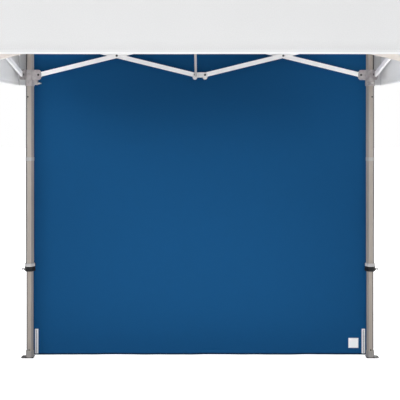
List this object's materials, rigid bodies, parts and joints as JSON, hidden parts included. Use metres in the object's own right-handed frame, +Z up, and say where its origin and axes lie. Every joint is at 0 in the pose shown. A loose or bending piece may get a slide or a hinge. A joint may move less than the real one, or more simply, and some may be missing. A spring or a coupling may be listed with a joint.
{
  "type": "pop up canopy",
  "caption": "Folding pop up canopy: hexagonal telescoping legs, scissor truss with peak bars, white pyramid roof with valances, and a blue sidewall at the back.",
  "frame": {"origin": "middle of the footprint, on the ground plane under the feet", "axes": "+Z up, -Y towards the open front, +Y towards the sidewall, +X to the right seen from the front"},
  "size_m": [3.048, 3.048, 3.53],
  "materials": {
    "roof_cloth": "matte",
    "wall_cloth": "matte",
    "label_patch": "satin",
    "webbing": "matte",
    "bracket_cast": "satin",
    "latch_metal": "satin",
    "pin_black": "satin",
    "leg_aluminium": "satin",
    "joint_nylon": "satin",
    "bar_aluminium": "satin"
  },
  "bodies": {
    "hub": {"hub": "bracket_cast", "peak_pole": "bar_aluminium", "roof_cover": "roof_cloth"},
    "front_peak_bar": {"front_peak_bar": "bar_aluminium"},
    "right_peak_bar": {"right_peak_bar": "bar_aluminium"},
    "back_peak_bar": {"back_peak_bar": "bar_aluminium"},
    "left_peak_bar": {"left_peak_bar": "bar_aluminium"},
    "front_lower_joint": {"front_lower_joint": "joint_nylon"},
    "right_lower_joint": {"right_lower_joint": "joint_nylon"},
    "back_lower_joint": {"back_lower_joint": "joint_nylon"},
    "left_lower_joint": {"left_lower_joint": "joint_nylon"},
    "front_top_bar_a": {"front_top_bar_a": "bar_aluminium"},
    "front_slider_bar_a": {"front_slider_bar_a": "bar_aluminium"},
    "front_upper_joint": {"front_upper_joint": "joint_nylon"},
    "front_left_leg": {"front_left_head": "bracket_cast", "front_left_outer_leg": "leg_aluminium"},
    "front_left_slider": {"front_left_slider": "bracket_cast"},
    "front_top_bar_b": {"front_top_bar_b": "bar_aluminium"},
    "front_slider_bar_b": {"front_slider_bar_b": "bar_aluminium"},
    "front_right_leg": {"front_right_head": "bracket_cast", "front_right_outer_leg": "leg_aluminium"},
    "front_right_slider": {"front_right_slider": "bracket_cast"},
    "right_top_bar_a": {"right_top_bar_a": "bar_aluminium"},
    "right_slider_bar_a": {"right_slider_bar_a": "bar_aluminium"},
    "right_upper_joint": {"right_upper_joint": "joint_nylon"},
    "right_top_bar_b": {"right_top_bar_b": "bar_aluminium"},
    "right_slider_bar_b": {"right_slider_bar_b": "bar_aluminium"},
    "back_top_bar_a": {"back_top_bar_a": "bar_aluminium"},
    "back_slider_bar_a": {"back_slider_bar_a": "bar_aluminium"},
    "back_upper_joint": {"back_upper_joint": "joint_nylon", "side_wall": "wall_cloth", "wall_label": "label_patch", "wall_zips": "webbing", "wall_straps": "webbing"},
    "back_right_leg": {"back_right_head": "bracket_cast", "back_right_outer_leg": "leg_aluminium"},
    "back_right_slider": {"back_right_slider": "bracket_cast"},
    "back_top_bar_b": {"back_top_bar_b": "bar_aluminium"},
    "back_slider_bar_b": {"back_slider_bar_b": "bar_aluminium"},
    "back_left_leg": {"back_left_head": "bracket_cast", "back_left_outer_leg": "leg_aluminium"},
    "back_left_slider": {"back_left_slider": "bracket_cast"},
    "left_top_bar_a": {"left_top_bar_a": "bar_aluminium"},
    "left_slider_bar_a": {"left_slider_bar_a": "bar_aluminium"},
    "left_upper_joint": {"left_upper_joint": "joint_nylon"},
    "left_top_bar_b": {"left_top_bar_b": "bar_aluminium"},
    "left_slider_bar_b": {"left_slider_bar_b": "bar_aluminium"},
    "front_right_inner_leg": {"front_right_inner_leg": "leg_aluminium"},
    "front_right_latch": {"front_right_latch": "latch_metal"},
    "front_right_leg_pin": {"front_right_leg_pin": "pin_black"},
    "back_right_inner_leg": {"back_right_inner_leg": "leg_aluminium"},
    "back_right_latch": {"back_right_latch": "latch_metal"},
    "back_right_leg_pin": {"back_right_leg_pin": "pin_black"},
    "back_left_inner_leg": {"back_left_inner_leg": "leg_aluminium"},
    "back_left_latch": {"back_left_latch": "latch_metal"},
    "back_left_leg_pin": {"back_left_leg_pin": "pin_black"},
    "front_left_inner_leg": {"front_left_inner_leg": "leg_aluminium"},
    "front_left_latch": {"front_left_latch": "latch_metal"},
    "front_left_leg_pin": {"front_left_leg_pin": "pin_black"}
  },
  "joints": [
    {"name": "front_peak_bar_hinge", "type": "hinge", "parent": "hub", "child": "front_peak_bar", "pos_m": [0.034, -0.058, 2.637], "axis": [1, 0, 0], "range_deg": [0, 74]},
    {"name": "right_peak_bar_hinge", "type": "hinge", "parent": "hub", "child": "right_peak_bar", "pos_m": [0.096, 0.034, 2.637], "axis": [0, 1, 0], "range_deg": [0, 74]},
    {"name": "frame_fold", "type": "hinge", "parent": "hub", "child": "back_peak_bar", "pos_m": [-0.034, 0.058, 2.637], "axis": [-1, 0, 0], "range_deg": [0, 74], "deforming": ["side_wall", "wall_label", "wall_zips", "wall_straps", "roof_cover"]},
    {"name": "left_peak_bar_hinge", "type": "hinge", "parent": "hub", "child": "left_peak_bar", "pos_m": [-0.096, -0.034, 2.637], "axis": [0, -1, 0], "range_deg": [0, 74]},
    {"name": "front_lower_joint_hinge", "type": "hinge", "parent": "front_peak_bar", "child": "front_lower_joint", "pos_m": [0.034, -1.343, 2.323], "axis": [-1, 0, 0], "range_deg": [0, 74]},
    {"name": "right_lower_joint_hinge", "type": "hinge", "parent": "right_peak_bar", "child": "right_lower_joint", "pos_m": [1.381, 0.034, 2.323], "axis": [0, -1, 0], "range_deg": [0, 74]},
    {"name": "back_lower_joint_hinge", "type": "hinge", "parent": "back_peak_bar", "child": "back_lower_joint", "pos_m": [-0.034, 1.343, 2.323], "axis": [1, 0, 0], "range_deg": [0, 74]},
    {"name": "left_lower_joint_hinge", "type": "hinge", "parent": "left_peak_bar", "child": "left_lower_joint", "pos_m": [-1.381, -0.034, 2.323], "axis": [0, 1, 0], "range_deg": [0, 74]},
    {"name": "front_top_bar_a_hinge", "type": "hinge", "parent": "front_lower_joint", "child": "front_top_bar_a", "pos_m": [-0.041, -1.3895, 2.323], "axis": [0, 1, 0], "range_deg": [0, 74]},
    {"name": "front_crossing_a", "type": "hinge", "parent": "front_top_bar_a", "child": "front_slider_bar_a", "pos_m": [-0.6835, -1.4, 2.48], "axis": [0, -1, 0], "range_deg": [0, 148]},
    {"name": "front_upper_joint_hinge", "type": "hinge", "parent": "front_slider_bar_a", "child": "front_upper_joint", "pos_m": [-0.041, -1.4105, 2.637], "axis": [0, 1, 0], "range_deg": [0, 74]},
    {"name": "front_left_head_hinge", "type": "hinge", "parent": "front_top_bar_a", "child": "front_left_leg", "pos_m": [-1.326, -1.3895, 2.637], "axis": [0, -1, 0], "range_deg": [0, 74]},
    {"name": "front_left_slider_hinge", "type": "hinge", "parent": "front_slider_bar_a", "child": "front_left_slider", "pos_m": [-1.326, -1.4105, 2.323], "axis": [0, 1, 0], "range_deg": [0, 74]},
    {"name": "front_top_bar_b_hinge", "type": "hinge", "parent": "front_lower_joint", "child": "front_top_bar_b", "pos_m": [0.041, -1.4105, 2.323], "axis": [0, -1, 0], "range_deg": [0, 74]},
    {"name": "front_crossing_b", "type": "hinge", "parent": "front_top_bar_b", "child": "front_slider_bar_b", "pos_m": [0.6835, -1.4, 2.48], "axis": [0, 1, 0], "range_deg": [0, 148]},
    {"name": "front_right_head_hinge", "type": "hinge", "parent": "front_top_bar_b", "child": "front_right_leg", "pos_m": [1.326, -1.4105, 2.637], "axis": [0, 1, 0], "range_deg": [0, 74]},
    {"name": "front_right_slider_hinge", "type": "hinge", "parent": "front_slider_bar_b", "child": "front_right_slider", "pos_m": [1.326, -1.3895, 2.323], "axis": [0, -1, 0], "range_deg": [0, 74]},
    {"name": "right_top_bar_a_hinge", "type": "hinge", "parent": "right_lower_joint", "child": "right_top_bar_a", "pos_m": [1.4275, -0.041, 2.323], "axis": [-1, 0, 0], "range_deg": [0, 74]},
    {"name": "right_crossing_a", "type": "hinge", "parent": "right_top_bar_a", "child": "right_slider_bar_a", "pos_m": [1.438, -0.6835, 2.48], "axis": [1, 0, 0], "range_deg": [0, 148]},
    {"name": "right_upper_joint_hinge", "type": "hinge", "parent": "right_slider_bar_a", "child": "right_upper_joint", "pos_m": [1.4485, -0.041, 2.637], "axis": [-1, 0, 0], "range_deg": [0, 74]},
    {"name": "right_top_bar_b_hinge", "type": "hinge", "parent": "right_lower_joint", "child": "right_top_bar_b", "pos_m": [1.4485, 0.041, 2.323], "axis": [1, 0, 0], "range_deg": [0, 74]},
    {"name": "right_crossing_b", "type": "hinge", "parent": "right_top_bar_b", "child": "right_slider_bar_b", "pos_m": [1.438, 0.6835, 2.48], "axis": [-1, 0, 0], "range_deg": [0, 148]},
    {"name": "back_top_bar_a_hinge", "type": "hinge", "parent": "back_lower_joint", "child": "back_top_bar_a", "pos_m": [0.041, 1.3895, 2.323], "axis": [0, -1, 0], "range_deg": [0, 74]},
    {"name": "back_crossing_a", "type": "hinge", "parent": "back_top_bar_a", "child": "back_slider_bar_a", "pos_m": [0.6835, 1.4, 2.48], "axis": [0, 1, 0], "range_deg": [0, 148]},
    {"name": "back_upper_joint_hinge", "type": "hinge", "parent": "back_slider_bar_a", "child": "back_upper_joint", "pos_m": [0.041, 1.4105, 2.637], "axis": [0, -1, 0], "range_deg": [0, 74]},
    {"name": "back_right_head_hinge", "type": "hinge", "parent": "back_top_bar_a", "child": "back_right_leg", "pos_m": [1.326, 1.3895, 2.637], "axis": [0, 1, 0], "range_deg": [0, 74]},
    {"name": "back_right_slider_hinge", "type": "hinge", "parent": "back_slider_bar_a", "child": "back_right_slider", "pos_m": [1.326, 1.4105, 2.323], "axis": [0, -1, 0], "range_deg": [0, 74]},
    {"name": "back_top_bar_b_hinge", "type": "hinge", "parent": "back_lower_joint", "child": "back_top_bar_b", "pos_m": [-0.041, 1.4105, 2.323], "axis": [0, 1, 0], "range_deg": [0, 74]},
    {"name": "back_crossing_b", "type": "hinge", "parent": "back_top_bar_b", "child": "back_slider_bar_b", "pos_m": [-0.6835, 1.4, 2.48], "axis": [0, -1, 0], "range_deg": [0, 148]},
    {"name": "back_left_head_hinge", "type": "hinge", "parent": "back_top_bar_b", "child": "back_left_leg", "pos_m": [-1.326, 1.4105, 2.637], "axis": [0, -1, 0], "range_deg": [0, 74]},
    {"name": "back_left_slider_hinge", "type": "hinge", "parent": "back_slider_bar_b", "child": "back_left_slider", "pos_m": [-1.326, 1.3895, 2.323], "axis": [0, 1, 0], "range_deg": [0, 74]},
    {"name": "left_top_bar_a_hinge", "type": "hinge", "parent": "left_lower_joint", "child": "left_top_bar_a", "pos_m": [-1.4275, 0.041, 2.323], "axis": [1, 0, 0], "range_deg": [0, 74]},
    {"name": "left_crossing_a", "type": "hinge", "parent": "left_top_bar_a", "child": "left_slider_bar_a", "pos_m": [-1.438, 0.6835, 2.48], "axis": [-1, 0, 0], "range_deg": [0, 148]},
    {"name": "left_upper_joint_hinge", "type": "hinge", "parent": "left_slider_bar_a", "child": "left_upper_joint", "pos_m": [-1.4485, 0.041, 2.637], "axis": [1, 0, 0], "range_deg": [0, 74]},
    {"name": "left_top_bar_b_hinge", "type": "hinge", "parent": "left_lower_joint", "child": "left_top_bar_b", "pos_m": [-1.4485, -0.041, 2.323], "axis": [-1, 0, 0], "range_deg": [0, 74]},
    {"name": "left_crossing_b", "type": "hinge", "parent": "left_top_bar_b", "child": "left_slider_bar_b", "pos_m": [-1.438, -0.6835, 2.48], "axis": [1, 0, 0], "range_deg": [0, 148]},
    {"name": "front_right_inner_leg_slide", "type": "slide", "parent": "front_right_leg", "child": "front_right_inner_leg", "axis": [0, 0, 1], "range_m": [0, 0.64]},
    {"name": "front_right_latch_pull", "type": "slide", "parent": "front_right_slider", "child": "front_right_latch", "axis": [-1, 0, 0], "range_m": [0, 0.01], "stiffness_N_per_m": 600, "springref_m": -0.004},
    {"name": "front_right_leg_pin_pull", "type": "slide", "parent": "front_right_leg", "child": "front_right_leg_pin", "axis": [1, 0, 0], "range_m": [0, 0.008], "stiffness_N_per_m": 600, "springref_m": -0.004},
    {"name": "back_right_inner_leg_slide", "type": "slide", "parent": "back_right_leg", "child": "back_right_inner_leg", "axis": [0, 0, 1], "range_m": [0, 0.64]},
    {"name": "back_right_latch_pull", "type": "slide", "parent": "back_right_slider", "child": "back_right_latch", "axis": [0, -1, 0], "range_m": [0, 0.01], "stiffness_N_per_m": 600, "springref_m": -0.004},
    {"name": "back_right_leg_pin_pull", "type": "slide", "parent": "back_right_leg", "child": "back_right_leg_pin", "axis": [1, 0, 0], "range_m": [0, 0.008], "stiffness_N_per_m": 600, "springref_m": -0.004},
    {"name": "back_left_inner_leg_slide", "type": "slide", "parent": "back_left_leg", "child": "back_left_inner_leg", "axis": [0, 0, 1], "range_m": [0, 0.64]},
    {"name": "back_left_latch_pull", "type": "slide", "parent": "back_left_slider", "child": "back_left_latch", "axis": [1, 0, 0], "range_m": [0, 0.01], "stiffness_N_per_m": 600, "springref_m": -0.004},
    {"name": "back_left_leg_pin_pull", "type": "slide", "parent": "back_left_leg", "child": "back_left_leg_pin", "axis": [-1, 0, 0], "range_m": [0, 0.008], "stiffness_N_per_m": 600, "springref_m": -0.004},
    {"name": "front_left_inner_leg_slide", "type": "slide", "parent": "front_left_leg", "child": "front_left_inner_leg", "axis": [0, 0, 1], "range_m": [0, 0.64]},
    {"name": "front_left_latch_pull", "type": "slide", "parent": "front_left_slider", "child": "front_left_latch", "axis": [0, 1, 0], "range_m": [0, 0.01], "stiffness_N_per_m": 600, "springref_m": -0.004},
    {"name": "front_left_leg_pin_pull", "type": "slide", "parent": "front_left_leg", "child": "front_left_leg_pin", "axis": [-1, 0, 0], "range_m": [0, 0.008], "stiffness_N_per_m": 600, "springref_m": -0.004}
  ],
  "couplings": [
    {"joint": "front_peak_bar_hinge", "follows": "frame_fold", "ratio": 1},
    {"joint": "right_peak_bar_hinge", "follows": "frame_fold", "ratio": 1},
    {"joint": "left_peak_bar_hinge", "follows": "frame_fold", "ratio": 1},
    {"joint": "front_lower_joint_hinge", "follows": "frame_fold", "ratio": 1},
    {"joint": "right_lower_joint_hinge", "follows": "frame_fold", "ratio": 1},
    {"joint": "back_lower_joint_hinge", "follows": "frame_fold", "ratio": 1},
    {"joint": "left_lower_joint_hinge", "follows": "frame_fold", "ratio": 1},
    {"joint": "front_top_bar_a_hinge", "follows": "frame_fold", "ratio": 1},
    {"joint": "front_crossing_a", "follows": "frame_fold", "ratio": 2},
    {"joint": "front_upper_joint_hinge", "follows": "frame_fold", "ratio": 1},
    {"joint": "front_left_head_hinge", "follows": "frame_fold", "ratio": 1},
    {"joint": "front_left_slider_hinge", "follows": "frame_fold", "ratio": 1},
    {"joint": "front_top_bar_b_hinge", "follows": "frame_fold", "ratio": 1},
    {"joint": "front_crossing_b", "follows": "frame_fold", "ratio": 2},
    {"joint": "front_right_head_hinge", "follows": "frame_fold", "ratio": 1},
    {"joint": "front_right_slider_hinge", "follows": "frame_fold", "ratio": 1},
    {"joint": "right_top_bar_a_hinge", "follows": "frame_fold", "ratio": 1},
    {"joint": "right_crossing_a", "follows": "frame_fold", "ratio": 2},
    {"joint": "right_upper_joint_hinge", "follows": "frame_fold", "ratio": 1},
    {"joint": "right_top_bar_b_hinge", "follows": "frame_fold", "ratio": 1},
    {"joint": "right_crossing_b", "follows": "frame_fold", "ratio": 2},
    {"joint": "back_top_bar_a_hinge", "follows": "frame_fold", "ratio": 1},
    {"joint": "back_crossing_a", "follows": "frame_fold", "ratio": 2},
    {"joint": "back_upper_joint_hinge", "follows": "frame_fold", "ratio": 1},
    {"joint": "back_right_head_hinge", "follows": "frame_fold", "ratio": 1},
    {"joint": "back_right_slider_hinge", "follows": "frame_fold", "ratio": 1},
    {"joint": "back_top_bar_b_hinge", "follows": "frame_fold", "ratio": 1},
    {"joint": "back_crossing_b", "follows": "frame_fold", "ratio": 2},
    {"joint": "back_left_head_hinge", "follows": "frame_fold", "ratio": 1},
    {"joint": "back_left_slider_hinge", "follows": "frame_fold", "ratio": 1},
    {"joint": "left_top_bar_a_hinge", "follows": "frame_fold", "ratio": 1},
    {"joint": "left_crossing_a", "follows": "frame_fold", "ratio": 2},
    {"joint": "left_upper_joint_hinge", "follows": "frame_fold", "ratio": 1},
    {"joint": "left_top_bar_b_hinge", "follows": "frame_fold", "ratio": 1},
    {"joint": "left_crossing_b", "follows": "frame_fold", "ratio": 2}
  ]
}
